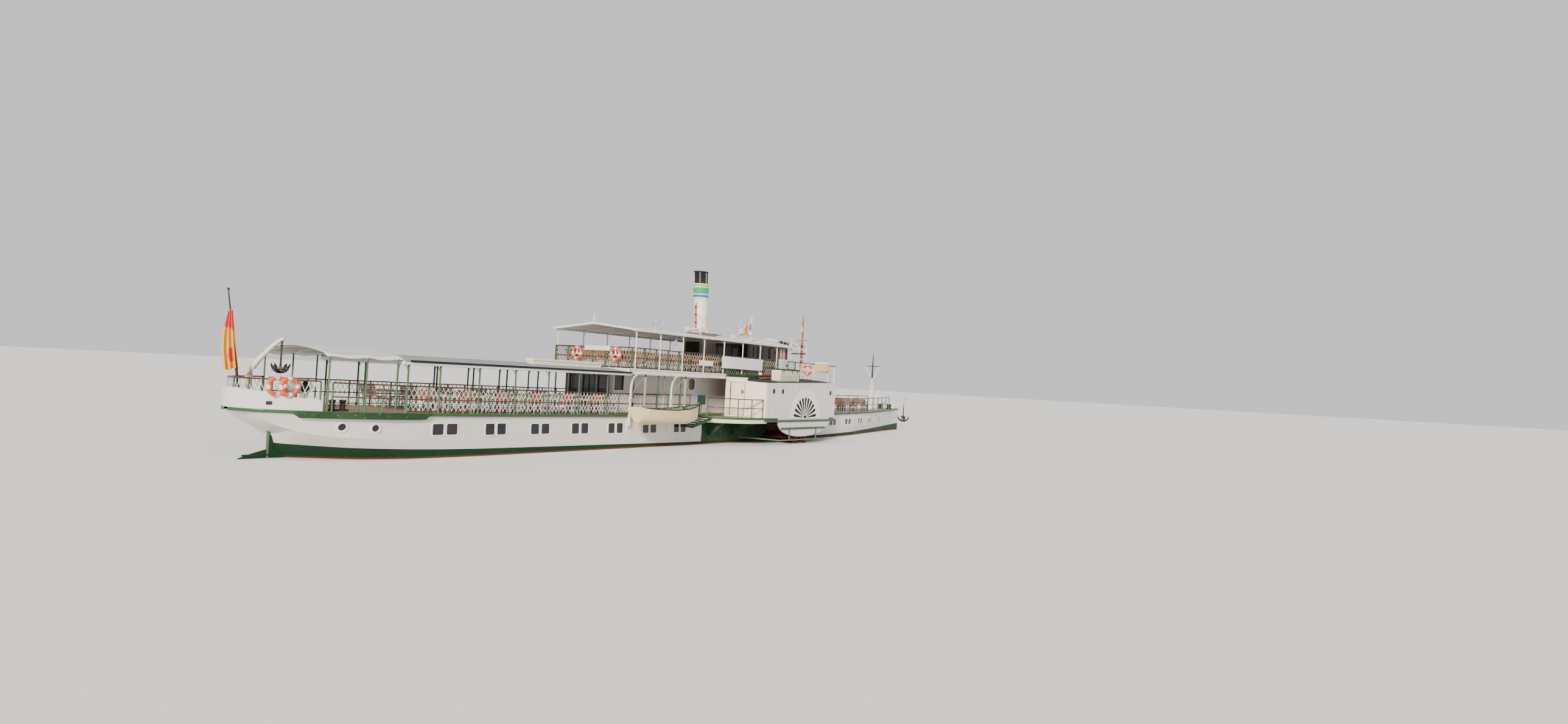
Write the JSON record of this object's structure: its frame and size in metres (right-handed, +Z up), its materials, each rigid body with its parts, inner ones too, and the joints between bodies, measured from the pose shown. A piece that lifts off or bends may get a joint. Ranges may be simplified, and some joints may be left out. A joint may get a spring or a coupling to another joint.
{
  "type": "side-wheel river paddle steamer, 1:2 scale model",
  "caption": "Afloat side-wheel river passenger steamer with deckhouse, sundeck under a canopy, folding funnel and masts, turning paddle wheels and rudder, built at 1:2.",
  "frame": {"origin": "on the centreline at mid length, at the waterline the vessel floats at", "axes": "+X towards the bow, +Y to port, +Z up; metres of the 1:2 model"},
  "size_m": [29.0308, 5.33, 5.56],
  "materials": {
    "hull_paint": "satin white above, dark green below",
    "white_paint": "satin",
    "cream_paint": "satin",
    "green_paint": "satin",
    "pale_green": "satin",
    "hull_green": "matt",
    "grey_roof": "matt",
    "light_grey": "satin",
    "funnel_paint": "satin with coloured band and black top",
    "red_paint": "wet gloss",
    "machinery": "oiled",
    "brown_wood": "dark varnish",
    "varnished_wood": "varnish",
    "slat_wood": "worn varnish",
    "cream_canvas": "woven",
    "flag_cloth": "woven, black, red and gold bands"
  },
  "bodies": {
    "ship": {"hull": "hull_paint", "aft_deck": "green_paint", "main_deck": "green_paint", "fore_deck": "green_paint", "stern_bulwark": "white_paint", "engine_block": "machinery", "boiler_block": "machinery", "deckhouse": "white_paint", "sundeck": "white_paint", "awning_frame": "green_paint", "awning_roof": "grey_roof", "sundeck_posts_starboard": "green_paint", "sundeck_posts_port": "green_paint", "canvas_frame": "white_paint", "canvas_awning": "cream_canvas", "paddle_box_starboard": "white_paint", "paddle_box_port": "white_paint", "wheel_guard_starboard": "pale_green", "wheel_guard_port": "pale_green", "main_rail_starboard": "brown_wood", "main_rail_port": "brown_wood", "sponson_rail_starboard": "brown_wood", "sponson_rail_port": "brown_wood", "bow_rail_starboard": "brown_wood", "bow_rail_port": "brown_wood", "stern_rail": "brown_wood", "canopy_frame": "white_paint", "canopy": "white_paint", "sundeck_rail": "brown_wood", "funnel_casing": "light_grey", "wheelhouse": "brown_wood", "wheelhouse_roof": "grey_roof", "boarding_platform": "green_paint", "deck_chest": "light_grey", "lifeboat": "cream_paint", "davit_aft": "white_paint", "davit_fore": "white_paint", "bow_tabernacle": "white_paint", "mast_tabernacle": "varnished_wood", "flagpole": "brown_wood", "stern_flag": "flag_cloth", "aft_seat_starboard": "slat_wood", "aft_seat_port": "slat_wood", "sundeck_seat_starboard": "slat_wood", "sundeck_seat_port": "slat_wood", "name_board": "cream_paint"},
    "wheels": {"paddle_wheels": "red_paint"},
    "steering": {"rudder": "hull_green"},
    "folding_funnel": {"funnel": "funnel_paint"},
    "folding_bow_mast": {"bow_mast": "varnished_wood"},
    "folding_main_mast": {"main_mast": "varnished_wood"},
    "stern_anchor_crane": {"stern_crane": "white_paint"},
    "bow_anchor_boom": {"bow_boom": "white_paint"},
    "side_door_s": {"side_door_starboard": "white_paint"},
    "side_door_p": {"side_door_port": "white_paint"},
    "sponson_door_s": {"sponson_door_starboard": "cream_paint"},
    "sponson_door_p": {"sponson_door_port": "cream_paint"},
    "wheelhouse_door_s": {"wheelhouse_door_starboard": "brown_wood"},
    "wheelhouse_door_p": {"wheelhouse_door_port": "brown_wood"},
    "lid": {"chest_lid": "green_paint"}
  },
  "joints": [
    {"name": "wheel_spin", "type": "hinge", "parent": "ship", "child": "wheels", "pos_m": [1.75, 0, 0.71], "axis": [0, 1, 0], "continuous": true},
    {"name": "rudder_turn", "type": "hinge", "parent": "ship", "child": "steering", "pos_m": [-13.07, 0, 0], "axis": [0, 0, 1], "range_deg": [-38, 38]},
    {"name": "funnel_fold", "type": "hinge", "parent": "ship", "child": "folding_funnel", "pos_m": [-0.75, 0, 3.37], "axis": [0, 1, 0], "range_deg": [-88, 0]},
    {"name": "bow_mast_fold", "type": "hinge", "parent": "ship", "child": "folding_bow_mast", "pos_m": [11.45, 0, 1.89], "axis": [0, 1, 0], "range_deg": [-85, 0]},
    {"name": "main_mast_fold", "type": "hinge", "parent": "ship", "child": "folding_main_mast", "pos_m": [5.6, 0, 1.75], "axis": [0, 1, 0], "range_deg": [0, 85]},
    {"name": "stern_crane_slew", "type": "hinge", "parent": "ship", "child": "stern_anchor_crane", "pos_m": [-13.375, 0.225, 0], "axis": [0, 0, 1], "range_deg": [-50, 180]},
    {"name": "bow_boom_slew", "type": "hinge", "parent": "ship", "child": "bow_anchor_boom", "pos_m": [13.675, 0, 0], "axis": [0, 0, 1], "range_deg": [-110, 110]},
    {"name": "side_door_s_swing", "type": "hinge", "parent": "ship", "child": "side_door_s", "pos_m": [-2.66, -0.87, 0], "axis": [0, 0, 1], "range_deg": [0, 95]},
    {"name": "side_door_p_swing", "type": "hinge", "parent": "ship", "child": "side_door_p", "pos_m": [-2.66, 0.87, 0], "axis": [0, 0, 1], "range_deg": [-95, 0]},
    {"name": "sponson_door_s_swing", "type": "hinge", "parent": "ship", "child": "sponson_door_s", "pos_m": [-0.7575, -2.015, 0], "axis": [0, 0, 1], "range_deg": [0, 95]},
    {"name": "sponson_door_p_swing", "type": "hinge", "parent": "ship", "child": "sponson_door_p", "pos_m": [-0.7575, 2.015, 0], "axis": [0, 0, 1], "range_deg": [-95, 0]},
    {"name": "wheelhouse_door_s_swing", "type": "hinge", "parent": "ship", "child": "wheelhouse_door_s", "pos_m": [2.765, -0.795, 0], "axis": [0, 0, 1], "range_deg": [0, 90]},
    {"name": "wheelhouse_door_p_swing", "type": "hinge", "parent": "ship", "child": "wheelhouse_door_p", "pos_m": [2.765, 0.795, 0], "axis": [0, 0, 1], "range_deg": [-90, 0]},
    {"name": "lid_swing", "type": "hinge", "parent": "ship", "child": "lid", "pos_m": [1.4, -1.855, 2.2625], "axis": [1, 0, 0], "range_deg": [-95, 0]}
  ]
}
